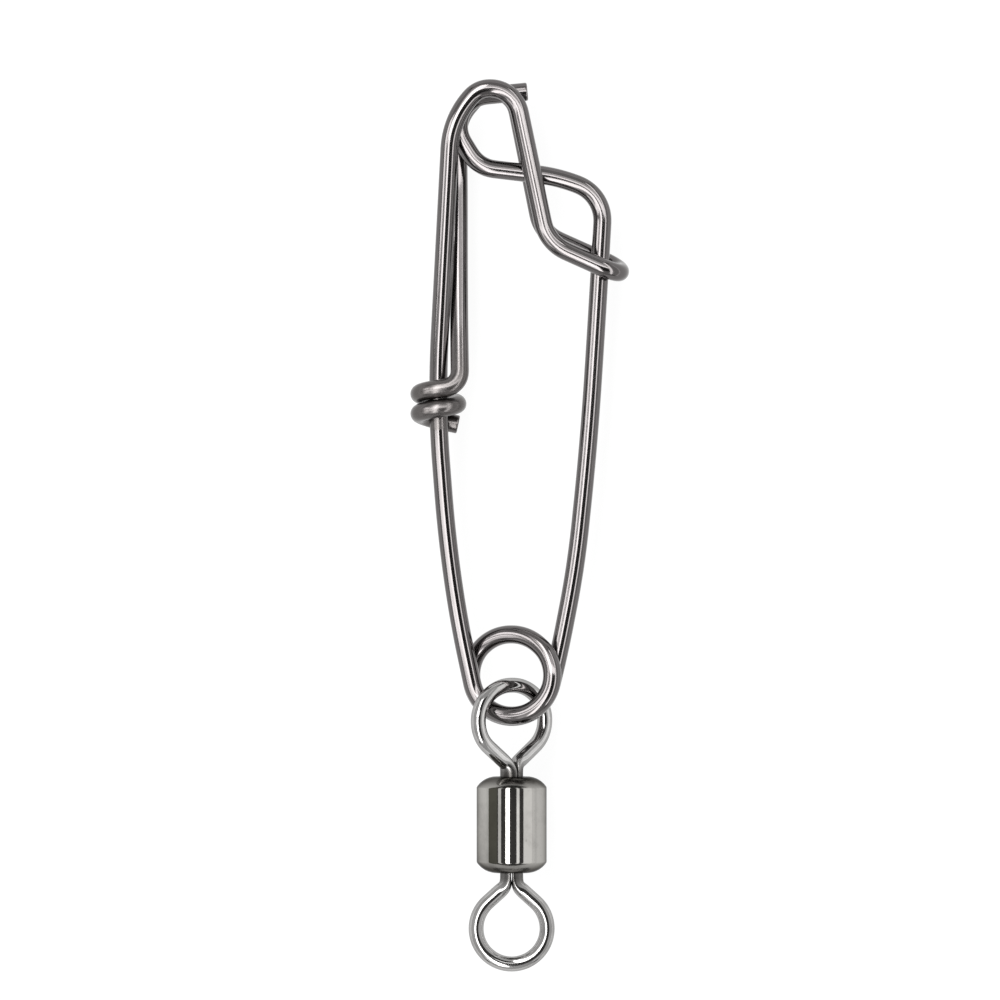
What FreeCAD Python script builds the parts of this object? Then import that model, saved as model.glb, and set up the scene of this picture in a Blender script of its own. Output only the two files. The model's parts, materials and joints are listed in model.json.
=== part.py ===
import FreeCAD, Part
import math
import os

# Snap swivel for longlines: a snap clip bent from one round wire, with a rolling swivel linked in its
# spring coil. Lengths are in millimetres, angles in degrees. It lies on a surface at z = 0: X runs across
# the clip, Y along it towards the arch, Z up. The routes are laid out from the centre of the coil, and
# the finished pieces are moved so that the origin is under the middle of the whole part.

# Snap wire
WIRE_DIAMETER = 3.3
WIRE_GAP = 0.12               # air between two stretches of the wire that lie on each other

# Spring coil: one and a half turns, seen square on, with its plane leaning to the left
COIL_RADIUS = 7.3             # to the middle of the wire
COIL_BACK_BOW = 0.35          # how much lower the back turn hangs than the front turn
COIL_RISE = 3.68              # from one turn to the next, along Z
COIL_LEAN = 3.4               # how far the coil's right side stands above its middle
COIL_LEG_ANGLE = 13.0         # how far below level each leg leaves the coil
COIL_BENDS = 12

# Right leg, from the coil up to the upper bend
RIGHT_LEG = [(8.7, 4.6), (11.6, 19.6), (13.95, 42.3), (15.45, 65.7)]
UPPER_BEND = (16.65, 86.6)
UPPER_BEND_RADIUS = 6.9

# Tongue, from its cut end to the upper bend
TONGUE_END = (2.85, 105.05)
TONGUE_LOOP_CENTRE = (-4.0, 98.9)
TONGUE_LOOP_RADIUS = 5.5
TONGUE_LOOP_START = 95.9      # directions from the centre at which the loop starts and ends
TONGUE_LOOP_STOP = 214.6
TONGUE_LOOP_BENDS = 3
TONGUE_HEEL = (-5.95, 91.4)
TONGUE_HEEL_RADIUS = 5.8
TONGUE_KINK = (8.0, 89.75)
TONGUE_KINK_RADIUS = 30.0

# Left leg and front strand of the arch
LEFT_LEG = [(-9.55, 9.9), (-11.7, 25.2), (-13.15, 44.1), (-13.2, 55.8)]
ARCH_SHOULDER = (-10.9, 99.75)
ARCH_SHOULDER_RADIUS = 15.0
ARCH_LEFT = (-6.05, 105.5)
ARCH_LEFT_RADIUS = 4.5
ARCH_RIGHT = (0.54, 105.5)
ARCH_RIGHT_RADIUS = 5.4

# Neck and catch: the catch turns round the right leg and comes back under it
NECK_FOOT = (6.4, 77.7)
NECK_FOOT_RADIUS = 7.3
CATCH_SLOPE = 24.1            # how steeply the catch drops to the right
CATCH_SIDE_GAP = 0.15         # air between the catch's turn and the right leg
CATCH_BACK_RISE = 1.42        # from the front strand of the catch to the back one, square to them
CATCH_BACK_LENGTH = 15.7
BACK_FOOT_RADIUS = 6.3

# Back strand of the arch, and the tail that climbs beside the left leg
BACK_RIGHT = (0.34, 105.35)
BACK_RIGHT_RADIUS = 4.6
BACK_LEFT = (-5.3, 105.35)
BACK_LEFT_RADIUS = 4.0
BACK_SHOULDER = (-9.8, 100.25)
BACK_SHOULDER_RADIUS = 8.0
TAIL_START = (-9.55, 90.5)
TAIL_KNEE = (-9.5, 67.5)
TAIL_KNEE_DROP = 2.3          # how far the tail lies under the left leg there

# Wrap: two turns of the tail round the left leg
WRAP_Y = 51.9                 # where the tail crosses over the left leg
WRAP_SIDE_GAP = 0.5           # air between the tail and the left leg, above the wrap
WRAP_ENTRY_RADIUS = 3.0
WRAP_TURNS = 2
WRAP_TURN_GAP = 0.25          # air between one turn of the wrap and the next
WRAP_END_REACH = 3.55         # from the middle of the left leg to the cut end
WRAP_END_DROP = 1.5

# Barrel of the rolling swivel
BARREL_RADIUS = 6.32
BARREL_LENGTH = 17.3
BARREL_BODY_LENGTH = 13.5     # the straight part between the two shoulders
BARREL_FLAT_RADIUS = 3.3      # the flat end round the neck
SHOULDER_BULGE = 0.35         # how far a shoulder stands out from a straight cone
BARREL_WALL = 1.25
BARREL_END_WALL = 1.45

# Eyes of the rolling swivel, each one bent wire
EYE_WIRE_DIAMETER = 2.7
EYE_HEIGHT_RADIUS = 6.4       # to the middle of the wire, along the swivel
LOWER_EYE_RADIUS = 6.4        # the same, across the swivel
UPPER_EYE_RADIUS = 7.5
EYE_FLANK_ANGLE = 48.0        # between the swivel's axis and the flanks that run to the neck
EYE_BENDS = 6
EYE_TO_BARREL = 10.05         # from the centre of an eye to the end of the barrel
LINK_DROP = 8.25              # from the centre of the coil to the centre of the upper eye
LINK_CLEARANCE = 0.12         # least air between the upper eye and the coil
LINK_SWING = 30.0             # how far the swivel swings each way about the coil
LINK_TURN_STEP = 0.1          # how finely the upper eye's turn about the swivel's axis is found
NECK_RADIUS = 2.0
NECK_CLEARANCE = 0.05         # radial, in the hole of the barrel
NECK_BEND_RADIUS = 1.7
NECK_DOME_DROP = 1.6          # from where the flanks meet the neck down to the top of its round part
DIE_MOUTH = 0.54              # width of the bevel where the pressed neck goes over into the round wire
SEAM_WIDTH = 0.08             # between the two ends of the wire, pressed together in the neck
SEAM_GROOVE = 0.5             # width of the groove along the seam
HEAD_RADIUS = 4.3
HEAD_CLEARANCE = 0.1          # between the cone of a head and its seat in the barrel
HEAD_SPACING = 1.5            # between the two heads inside the barrel

PITCH = WIRE_DIAMETER + WIRE_GAP
AXIS_Z = BARREL_RADIUS        # the barrel lies on the surface
BACK_Z = WIRE_DIAMETER / 2    # so does the back strand of the arch
MIDDLE_Z = BACK_Z + PITCH     # the tongue and the right leg
FRONT_Z = MIDDLE_Z + PITCH    # the front strand and the left leg
BARREL_MIDDLE_Y = -LINK_DROP - EYE_TO_BARREL - BARREL_LENGTH / 2


def vector(x, y, z):
    return FreeCAD.Vector(x, y, z)


def unit(direction):
    return direction * (1 / direction.Length)


def ring_corners(centre, radius, start, stop, count, stretch=1.0):
    """Corners (x, y, direction) of an open polygon whose sides touch a circle all the way from one
    direction to another. stretch widens the circle along X to an oval."""
    step = (stop - start) / count
    far = radius / math.cos(math.radians(step / 2))
    corners = []
    for k in range(count):
        direction = start + (k + 0.5) * step
        x = centre[0] + stretch * far * math.cos(math.radians(direction))
        y = centre[1] + far * math.sin(math.radians(direction))
        corners.append((x, y, direction))
    return corners


def along(route, y):
    """Where a leg is at a height y: x and z between the two points (x, y, z) beside it."""
    for low, high in zip(route, route[1:]):
        if low[1] <= y <= high[1]:
            break
    share = (y - low[1]) / (high[1] - low[1])
    return low[0] + share * (high[0] - low[0]), low[2] + share * (high[2] - low[2])


def centreline(corners):
    """Straight runs joined by tangent arcs. A corner is (point, radius), and a radius of None makes
    the bend as large as the runs beside it allow: up to the middle of a run that it shares with
    another bend, or up to the end of the line."""
    edges = []
    here = corners[0][0]
    last = len(corners) - 2
    for k in range(1, last + 1):
        point, radius = corners[k]
        before = corners[k - 1][0] - point
        after = corners[k + 1][0] - point
        half_turn = (math.pi - before.getAngle(after)) / 2
        if radius is None:
            tangent = min(before.Length / (1 if k == 1 else 2), after.Length / (1 if k == last else 2))
        else:
            tangent = radius * math.tan(half_turn)
        start = point + unit(before) * tangent
        stop = point + unit(after) * tangent
        inward = tangent * (1 / math.sin(half_turn) - 1 / math.tan(half_turn))
        middle = point + unit(unit(before) + unit(after)) * inward
        if (start - here).Length > 1e-4:
            edges.append(Part.LineSegment(here, start).toShape())
        else:
            start = here
        edges.append(Part.Arc(start, middle, stop).toShape())
        here = stop
    edges.append(Part.LineSegment(here, corners[-1][0]).toShape())
    return Part.Wire(edges)


def sweep(path, diameter):
    """A round wire along a centreline."""
    first = path.Edges[0]
    start = first.valueAt(first.FirstParameter)
    heading = first.tangentAt(first.FirstParameter)
    section = Part.Face(Part.Wire(Part.makeCircle(diameter / 2, start, heading)))
    return path.makePipe(section)


def run_edges(profile):
    """Straight edges through points (r, y) of a profile."""
    points = [vector(r, y, 0) for r, y in profile]
    return [Part.LineSegment(a, b).toShape() for a, b in zip(points, points[1:])]


def revolve(edges):
    """A solid of revolution about the Y axis, from the closed edges of its profile."""
    face = Part.Face(Part.Wire(edges))
    solid = face.revolve(vector(0, 0, 0), vector(0, 1, 0), 360)
    if solid.Volume < 0:
        solid = face.revolve(vector(0, 0, 0), vector(0, -1, 0), 360)
    return solid


def coil_corners():
    """The coil from the right leg to the left leg: under the ring, over it and under it again. The
    wire climbs by one rise in each turn, and the ring as a whole leans to the left."""
    start = -COIL_LEG_ANGLE
    stop = COIL_LEG_ANGLE - 540
    corners = []
    for x, y, direction in ring_corners((0, 0), COIL_RADIUS, start, stop, COIL_BENDS):
        turned = math.radians(-direction)
        if turned < math.pi:
            y -= COIL_BACK_BOW * math.sin(turned)
        z = AXIS_Z + COIL_RISE * (turned / (2 * math.pi) - 0.75) + COIL_LEAN * math.cos(turned)
        corners.append((vector(x, y, z), None))
    return corners


def leg_points(leg, top, coil_end, top_z):
    """Points (x, y, z) of a leg from its end at the coil to its top, with z at an even slope."""
    flat = [(coil_end.x, coil_end.y)] + leg + [top]
    rise = (top_z - coil_end.z) / (top[1] - coil_end.y)
    return [(x, y, coil_end.z + rise * (y - coil_end.y)) for x, y in flat]


def right_leg_points():
    """The right leg levels out below the catch, so that it lies between the catch's two strands."""
    points = leg_points(RIGHT_LEG[:-1], RIGHT_LEG[-1], coil_corners()[0][0], MIDDLE_Z)
    return points + [(UPPER_BEND[0], UPPER_BEND[1], MIDDLE_Z)]


def left_leg_points():
    return leg_points(LEFT_LEG, ARCH_SHOULDER, coil_corners()[-1][0], FRONT_Z)


def tongue_corners():
    corners = [(vector(*TONGUE_END, MIDDLE_Z), None)]
    loop = ring_corners(TONGUE_LOOP_CENTRE, TONGUE_LOOP_RADIUS, TONGUE_LOOP_START, TONGUE_LOOP_STOP,
                        TONGUE_LOOP_BENDS)
    for x, y, direction in loop:
        corners.append((vector(x, y, MIDDLE_Z), TONGUE_LOOP_RADIUS))
    corners.append((vector(*TONGUE_HEEL, MIDDLE_Z), TONGUE_HEEL_RADIUS))
    corners.append((vector(*TONGUE_KINK, MIDDLE_Z), TONGUE_KINK_RADIUS))
    corners.append((vector(*UPPER_BEND, MIDDLE_Z), UPPER_BEND_RADIUS))
    return corners


def leg_and_coil_corners():
    """Down the right leg, round the coil and up the left leg."""
    corners = [(vector(*point), None) for point in reversed(right_leg_points()[1:-1])]
    corners += coil_corners()
    corners += [(vector(*point), None) for point in left_leg_points()[1:-1]]
    return corners


def catch_turn():
    """The two corners of the catch's turn, in front of and behind the right leg."""
    slope = math.radians(CATCH_SLOPE)
    leg = right_leg_points()
    low, high = leg[-2], leg[-1]
    lean = (high[0] - low[0]) / (high[1] - low[1])
    reach = PITCH + CATCH_SIDE_GAP - WIRE_GAP
    level = low[0] + lean * (NECK_FOOT[1] - low[1]) + reach - NECK_FOOT[0]
    run = level / (1 + lean * math.tan(slope))
    x = NECK_FOOT[0] + run
    y = NECK_FOOT[1] - run * math.tan(slope)
    front = vector(x, y, FRONT_Z)
    step = vector(math.sin(slope), math.cos(slope), 0) * CATCH_BACK_RISE
    return front, front + step + vector(0, 0, BACK_Z - FRONT_Z)


def arch_and_catch_corners():
    """Over the arch in front, down the neck, round the right leg, and back over the arch behind."""
    slope = math.radians(CATCH_SLOPE)
    front, back = catch_turn()
    back_foot = back + vector(-math.cos(slope), math.sin(slope), 0) * CATCH_BACK_LENGTH
    return [
        (vector(*ARCH_SHOULDER, FRONT_Z), ARCH_SHOULDER_RADIUS),
        (vector(*ARCH_LEFT, FRONT_Z), ARCH_LEFT_RADIUS),
        (vector(*ARCH_RIGHT, FRONT_Z), ARCH_RIGHT_RADIUS),
        (vector(*NECK_FOOT, FRONT_Z), NECK_FOOT_RADIUS),
        (front, None),
        (back, None),
        (back_foot, BACK_FOOT_RADIUS),
        (vector(*BACK_RIGHT, BACK_Z), BACK_RIGHT_RADIUS),
        (vector(*BACK_LEFT, BACK_Z), BACK_LEFT_RADIUS),
        (vector(*BACK_SHOULDER, BACK_Z), BACK_SHOULDER_RADIUS),
    ]


def tail_and_wrap_corners():
    """Down beside the left leg, over it, and round it in square turns whose bends fill the corners."""
    leg = left_leg_points()
    knee_z = along(leg, TAIL_KNEE[1])[1] - TAIL_KNEE_DROP
    corners = [(vector(*TAIL_START, BACK_Z), None), (vector(*TAIL_KNEE, knee_z), None)]
    quarter = (WIRE_DIAMETER + WRAP_TURN_GAP) / 4
    x, z = along(leg, WRAP_Y)
    corners.append((vector(x + PITCH + WRAP_SIDE_GAP, WRAP_Y, z + PITCH), WRAP_ENTRY_RADIUS))
    sides = [(-1, 1), (-1, -1), (1, -1), (1, 1)]
    y = WRAP_Y
    for k in range(4 * WRAP_TURNS - 2):
        y -= quarter
        x, z = along(leg, y)
        side_x, side_z = sides[k % 4]
        corners.append((vector(x + side_x * PITCH, y, z + side_z * PITCH), None))
    y -= WRAP_END_DROP
    x, z = along(leg, y)
    corners.append((vector(x + WRAP_END_REACH, y, z - PITCH), None))
    return corners


def coil_centreline():
    """The stretch of the wire that the upper eye is linked round."""
    right = [(vector(*point), None) for point in right_leg_points()[1:3]]
    left = [(vector(*point), None) for point in left_leg_points()[1:3]]
    return centreline(right[::-1] + coil_corners() + left)


def snap_centreline():
    return centreline(tongue_corners() + leg_and_coil_corners() + arch_and_catch_corners()
                      + tail_and_wrap_corners())


def flank_foot(across):
    """Height at which a flank of an eye reaches its half of the neck, from the eye's centre."""
    direction = math.radians(-EYE_FLANK_ANGLE)
    x = NECK_RADIUS / 2 * EYE_HEIGHT_RADIUS / across
    return (EYE_HEIGHT_RADIUS - x * math.cos(direction)) / math.sin(direction)


def half_eye_centreline(across):
    """The right half of an eye round the origin with its neck towards -Y: from the top, round, down
    the flank and into the neck."""
    foot = flank_foot(across)
    half_neck = NECK_RADIUS / 2
    corners = [(vector(0, EYE_HEIGHT_RADIUS, 0), None)]
    for x, y, direction in ring_corners((0, 0), EYE_HEIGHT_RADIUS, 90, -EYE_FLANK_ANGLE,
                                        EYE_BENDS // 2, across / EYE_HEIGHT_RADIUS):
        corners.append((vector(x, y, 0), None))
    corners.append((vector(half_neck, foot, 0), NECK_BEND_RADIUS))
    corners.append((vector(half_neck, foot - NECK_RADIUS, 0), None))
    return centreline(corners)


def with_mirror_image(half):
    """A half of an eye beside its mirror image."""
    return [half, half.mirror(vector(0, 0, 0), vector(1, 0, 0))]


def swing_axis():
    """The coil's own axis: Z, leaning with the coil."""
    return unit(vector(-COIL_LEAN, 0, COIL_RADIUS))


def place_upper(shape, turn, swing=0.0):
    """Turns the upper eye about the swivel's axis, hangs it in the coil and swings it."""
    placed = shape.copy()
    placed.rotate(vector(0, 0, 0), vector(0, 1, 0), turn)
    placed.translate(vector(0, -LINK_DROP, AXIS_Z))
    placed.rotate(vector(0, 0, AXIS_Z), swing_axis(), swing)
    return placed


def link_turn():
    """Least turn of the upper eye about the swivel's axis at which it stays clear of the coil over the
    whole swing: it passes over the coil's wire on the left and under it on the right."""
    coil = coil_centreline()
    eye = Part.makeCompound(with_mirror_image(half_eye_centreline(UPPER_EYE_RADIUS)))
    needed = (WIRE_DIAMETER + EYE_WIRE_DIAMETER) / 2 + LINK_CLEARANCE
    low, high = 0.0, 90.0
    while high - low > LINK_TURN_STEP:
        turn = (low + high) / 2
        clear = min(place_upper(eye, turn, swing).distToShape(coil)[0]
                    for swing in (-LINK_SWING, 0.0, LINK_SWING))
        if clear < needed:
            low = turn
        else:
            high = turn
    return high


def seat_cone(radius, clearance):
    """Height of the conical seat in the barrel, from its middle, at a radius."""
    seat_top = BARREL_LENGTH / 2 - BARREL_END_WALL
    return seat_top - (radius - NECK_RADIUS - NECK_CLEARANCE) - clearance


def barrel():
    """A shell with swaged shoulders, a hole at each end for a neck, and a seat for each head."""
    end = BARREL_LENGTH / 2
    body = BARREL_BODY_LENGTH / 2
    hole = NECK_RADIUS + NECK_CLEARANCE
    cavity = BARREL_RADIUS - BARREL_WALL
    fall = vector(BARREL_RADIUS - BARREL_FLAT_RADIUS, body - end, 0)
    bulge = vector(-fall.y, fall.x, 0) * (SHOULDER_BULGE / fall.Length)
    rim = vector(BARREL_FLAT_RADIUS, end, 0)
    edge = vector(BARREL_RADIUS, body, 0)
    crown = rim + fall * 0.5 + bulge

    def mirrored(point):
        return vector(point.x, -point.y, 0)

    hole_end = seat_cone(hole, 0)
    seat_end = seat_cone(cavity, 0)
    inside = [(hole, end), (hole, hole_end), (cavity, seat_end),
              (cavity, -seat_end), (hole, -hole_end), (hole, -end)]
    outline = [
        Part.LineSegment(vector(hole, end, 0), rim).toShape(),
        Part.Arc(rim, crown, edge).toShape(),
        Part.LineSegment(edge, mirrored(edge)).toShape(),
        Part.Arc(mirrored(edge), mirrored(crown), mirrored(rim)).toShape(),
        Part.LineSegment(mirrored(rim), vector(hole, -end, 0)).toShape(),
    ]
    return revolve(outline + run_edges(inside))


def neck_and_head(neck_top, middle):
    """The round neck of an eye, closed by a dome, and the head on its other end. middle is the
    height of the middle of the barrel."""
    cone_low = middle + seat_cone(HEAD_RADIUS, HEAD_CLEARANCE)
    cone_high = middle + seat_cone(NECK_RADIUS, HEAD_CLEARANCE)
    head_end = middle + HEAD_SPACING / 2
    rim = vector(NECK_RADIUS, neck_top, 0)
    crown = vector(NECK_RADIUS * math.sqrt(0.5), neck_top + NECK_RADIUS * math.sqrt(0.5), 0)
    tip = vector(0, neck_top + NECK_RADIUS, 0)
    dome = Part.Arc(rim, crown, tip).toShape()
    return revolve(run_edges([(0, tip.y), (0, head_end), (HEAD_RADIUS, head_end), (HEAD_RADIUS, cone_low),
                              (NECK_RADIUS, cone_high), (NECK_RADIUS, neck_top)]) + [dome])


def eye(across):
    """One bent wire. Its two ends are pressed half round, so that they make a round neck, and are
    upset inside the barrel into a head with a conical seat. The seam between them stays open. The
    right half is made, and then its mirror image."""
    foot = flank_foot(across)
    middle = -EYE_TO_BARREL - BARREL_LENGTH / 2
    half_wire = EYE_WIRE_DIAMETER / 2
    far = 2 * across
    low = foot - 2 * NECK_RADIUS
    die = revolve(run_edges([(0, low), (NECK_RADIUS, low), (NECK_RADIUS, foot - half_wire),
                             (NECK_RADIUS + DIE_MOUTH, foot - DIE_MOUTH),
                             (far, foot + half_wire), (far, far), (0, far), (0, low)]))
    crotch = foot + half_wire
    other_side = Part.makeBox(far, crotch - middle, 2 * far, vector(SEAM_WIDTH / 2 - far, middle, -far))
    loop = sweep(half_eye_centreline(across), EYE_WIRE_DIAMETER).common(die).cut(other_side)
    stem = neck_and_head(foot - NECK_DOME_DROP, middle).cut(other_side)
    groove_low = -EYE_TO_BARREL + NECK_CLEARANCE
    groove_side = SEAM_GROOVE / math.sqrt(2)
    groove = Part.makeBox(groove_side, crotch - groove_low, groove_side)
    groove.rotate(vector(0, 0, 0), vector(0, 1, 0), 45)
    grooves = []
    for side in (-1, 1):
        cut = groove.copy()
        cut.translate(vector(-SEAM_GROOVE / 2, groove_low, side * NECK_RADIUS))
        grooves.append(cut)
    half = loop.fuse(stem).cut(grooves)
    right, left = with_mirror_image(half)
    return right.fuse(left).Solids[0]


def build():
    turn = link_turn()
    upper = place_upper(eye(UPPER_EYE_RADIUS), turn)
    lower = eye(LOWER_EYE_RADIUS)
    lower.rotate(vector(0, 0, 0), vector(0, 0, 1), 180)
    lower.translate(vector(0, 2 * BARREL_MIDDLE_Y + LINK_DROP, AXIS_Z))
    shell = barrel()
    shell.translate(vector(0, BARREL_MIDDLE_Y, AXIS_Z))
    pieces = {
        "snap_wire": sweep(snap_centreline(), WIRE_DIAMETER),
        "upper_eye": upper,
        "swivel_barrel": shell,
        "lower_eye": lower,
    }
    box = Part.makeCompound(list(pieces.values())).optimalBoundingBox(False, False)
    shift = vector(-box.Center.x, -box.Center.y, -box.ZMin)
    for piece in pieces.values():
        piece.translate(shift)
    return pieces, turn, shift


pieces, turn, shift = build()
os.makedirs("parts", exist_ok=True)
for name, piece in pieces.items():
    piece.exportStep("parts/" + name + ".step")
    print(name, piece.ShapeType, len(piece.Solids), "solids", round(piece.Volume, 2), "mm3")
print("eye turned by", round(turn, 2), "coil centre at", round(shift.x, 4), round(shift.y, 4))
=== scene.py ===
# %% [markdown]
# # A longline snap with a rolling swivel
#
# The real thing is four pieces of metal. A snap clip is bent from one springy stainless wire: a coil at
# the bottom, two legs, an arch, a catch that hooks round the right leg, and a tail wound round the left
# leg. A rolling swivel hangs in the coil: an upper eye, a barrel and a lower eye, and both eyes turn in
# the barrel. All of it is polished, so nearly all of the look is what the metal reflects.
#
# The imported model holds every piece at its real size. It is loaded first and stays where it is. Here
# each piece gets a finer skin of its own, laid on exactly the same lines, so that the long thin
# reflections run without a break.

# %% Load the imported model
import json
import math

import bpy
import numpy as np
from mathutils import Matrix, Vector


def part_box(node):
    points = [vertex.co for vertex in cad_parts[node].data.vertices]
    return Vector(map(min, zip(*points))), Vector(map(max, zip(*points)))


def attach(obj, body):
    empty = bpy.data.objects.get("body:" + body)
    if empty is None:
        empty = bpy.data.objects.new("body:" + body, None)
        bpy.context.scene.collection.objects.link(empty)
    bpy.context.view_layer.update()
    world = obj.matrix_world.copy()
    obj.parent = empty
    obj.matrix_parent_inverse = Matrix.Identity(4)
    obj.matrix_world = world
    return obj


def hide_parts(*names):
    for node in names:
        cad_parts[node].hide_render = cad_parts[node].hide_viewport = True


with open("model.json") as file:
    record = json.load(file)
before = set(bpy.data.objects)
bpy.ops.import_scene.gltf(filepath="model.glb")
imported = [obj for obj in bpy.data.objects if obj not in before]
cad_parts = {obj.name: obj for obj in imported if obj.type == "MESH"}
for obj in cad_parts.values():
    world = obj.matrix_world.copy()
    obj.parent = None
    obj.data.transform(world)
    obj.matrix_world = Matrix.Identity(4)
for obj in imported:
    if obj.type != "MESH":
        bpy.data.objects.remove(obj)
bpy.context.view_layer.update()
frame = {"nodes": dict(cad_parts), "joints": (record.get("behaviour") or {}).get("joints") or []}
joints = {joint["name"]: joint for joint in frame["joints"]}
print("nodes:", sorted(frame["nodes"]))

# %% [markdown]
# Blender works in metres, and a tackle maker thinks in millimetres. One factor turns the one into the
# other, and every size below is written as the maker would say it.

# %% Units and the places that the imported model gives
MM = 0.001
barrel_low, barrel_high = (np.array(corner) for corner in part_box("swivel_barrel"))
BARREL_RADIUS = (barrel_high[0] - barrel_low[0]) / 2
BARREL_HALF = (barrel_high[1] - barrel_low[1]) / 2
BARREL_MIDDLE = (barrel_low + barrel_high) / 2
COIL_CENTRE = np.array(joints["link_swing"]["pos_m"])
LINK_AXIS = np.array(joints["link_swing"]["axis"])
print("barrel radius", round(BARREL_RADIUS / MM, 2), "mm, coil centre", COIL_CENTRE / MM)

# %% [markdown]
# A bent wire is straight runs joined by round bends. The maker's drawing gives the corners, where the
# runs would meet if they were drawn on, and how round each bend is. The line could be a Bezier curve,
# but its bends aren't round, so here each arc is worked out: from the corner, both ends of the arc lie
# one tangent length back along the runs, and between them a point turns evenly about the arc's centre.

# %% The line of a bent wire
LINE_STEP = 0.35              # from one section of a wire to the next
SOFTENING = 0.45              # real wire goes into a bend over about this length


def arc_points(start, stop, centre, count=24):
    """Points turning evenly from start to stop about centre: the two radii a and b, mixed as
    (a sin((1-s)w) + b sin(s w)) / sin w, where w is the angle between them and s runs from 0 to 1."""
    a, b = start - centre, stop - centre
    angle = math.acos(np.clip(a @ b / (np.linalg.norm(a) * np.linalg.norm(b)), -1, 1))
    share = np.linspace(0, 1, count)[:, None]
    return centre + (a * np.sin((1 - share) * angle) + b * np.sin(share * angle)) / math.sin(angle)


def bent_line(corners, step=LINE_STEP, softening=SOFTENING):
    """Evenly spaced points along straight runs joined by arcs. A corner is (point, radius); a radius of
    None makes the bend as large as the runs beside it allow. The even points are then averaged with
    a bell curve as wide as softening, which blends each run into its bend; the two ends stay."""
    pieces = [np.array([corners[0][0]])]
    last = len(corners) - 2
    for k in range(1, last + 1):
        point, radius = corners[k]
        before, after = corners[k - 1][0] - point, corners[k + 1][0] - point
        before_length, after_length = np.linalg.norm(before), np.linalg.norm(after)
        before, after = before / before_length, after / after_length
        half_turn = (math.pi - math.acos(np.clip(before @ after, -1, 1))) / 2
        if radius is None:
            tangent = min(before_length / (1 if k == 1 else 2), after_length / (1 if k == last else 2))
        else:
            tangent = radius * math.tan(half_turn)
        inward = (before + after) / np.linalg.norm(before + after)
        centre = point + inward * tangent / math.sin(half_turn)
        pieces.append(arc_points(point + before * tangent, point + after * tangent, centre))
    pieces.append(np.array([corners[-1][0]]))
    points = np.concatenate(pieces)
    length = distances(points)
    even = np.linspace(0, length[-1], int(length[-1] / step) + 1)
    line = np.stack([np.interp(even, length, points[:, axis]) for axis in range(3)], axis=1)
    reach = int(3 * softening / step)     # past three widths the bell is as good as flat
    if reach:
        bell = np.exp(-0.5 * (np.arange(-reach, reach + 1) * step / softening) ** 2)
        before = 2 * line[0] - line[reach:0:-1]
        after = 2 * line[-1] - line[-2:-reach - 2:-1]
        padded = np.concatenate([before, line, after])
        line = np.stack([np.convolve(padded[:, axis], bell / bell.sum(), "valid") for axis in range(3)],
                        axis=1)
    return line


# %% [markdown]
# A wire is that line with a round section carried along it. The section has to stand square to the
# line without twisting, or the drawing lines on the metal would wind round it like a thread. So each
# section starts from the one before and is only tilted as far as the line turns.

# %% Sections carried along a line
def directions(line):
    """The unit direction of the line at each point."""
    tangent = np.gradient(line, axis=0)
    return tangent / np.linalg.norm(tangent, axis=1)[:, None]


def steady_frame(line, first_side):
    """Two unit vectors square to the line at each point, that turn with it and never twist round it:
    each side is the last one less its part along the new direction."""
    tangent = directions(line)
    side = np.empty_like(tangent)
    held = np.array(first_side, float)
    for k, along in enumerate(tangent):
        held = held - (held @ along) * along
        held = held / np.linalg.norm(held)
        side[k] = held
    return side, np.cross(tangent, side)


def distances(line):
    """How far along the line each of its points is."""
    return np.concatenate([[0], np.cumsum(np.linalg.norm(np.diff(line, axis=0), axis=1))])


def bend_of(line):
    """How sharply the line is bent at each point, as 1 / radius."""
    tangent = directions(line)
    spacing = np.linalg.norm(np.gradient(line, axis=0), axis=1)
    return np.linalg.norm(np.gradient(tangent, axis=0), axis=1) / spacing


def grid_mesh(name, points, along, around_length, closed_line=False, **values):
    """A mesh over a grid of points[station, around], closed round the section. Both ends get a flat
    face, or the last station is joined to the first if the line is closed. along is the distance of
    each station in metres, and around_length that once round the section; both go into the UV map,
    so that a pattern can be given in real sizes. values are numbers for each station, kept as
    attributes of the mesh."""
    stations, around = points.shape[:2]
    spans = stations if closed_line else stations - 1
    row, column = np.meshgrid(np.arange(spans), np.arange(around), indexing="ij")
    next_row, next_column = (row + 1) % stations, (column + 1) % around
    quads = np.stack([row * around + column, row * around + next_column,
                      next_row * around + next_column, next_row * around + column], axis=-1)
    faces = quads.reshape(-1, 4).tolist()
    if not closed_line:
        faces.append(list(range(around - 1, -1, -1)))
        faces.append(list(range((stations - 1) * around, stations * around)))
    mesh = bpy.data.meshes.new(name)
    mesh.from_pydata(points.reshape(-1, 3), [], faces)
    u = np.stack([along[row], along[row], along[row + 1], along[row + 1]], axis=-1)
    v = np.stack([column, column + 1, column + 1, column], axis=-1) * (around_length / around)
    uv = np.zeros((len(mesh.loops), 2), np.float32)
    uv[:quads.size] = np.stack([u.reshape(-1), v.reshape(-1)], axis=1)
    mesh.uv_layers.new(name="UVMap").data.foreach_set("uv", uv.reshape(-1))
    for key, value in values.items():
        attribute = mesh.attributes.new(key, "FLOAT", "POINT")
        attribute.data.foreach_set("value", np.repeat(value, around).astype(np.float32))
    smooth = np.arange(len(faces)) < quads.size // 4
    mesh.polygons.foreach_set("use_smooth", smooth)
    mesh.update()
    piece = bpy.data.objects.new(name, mesh)
    bpy.context.scene.collection.objects.link(piece)
    print(name, len(faces), "faces")
    return piece


# %% [markdown]
# ## The snap wire
#
# The clip is one wire about half a metre long. It could be cut up into a coil, legs and a catch, but
# then each join would show in the polish. So its corners are listed once, from the cut end of the
# tongue to the cut end of the tail, and the whole length is one skin. The corners are measured from
# the centre of the coil, across the clip and along it; the height comes from how the strands lie on
# each other.

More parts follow.
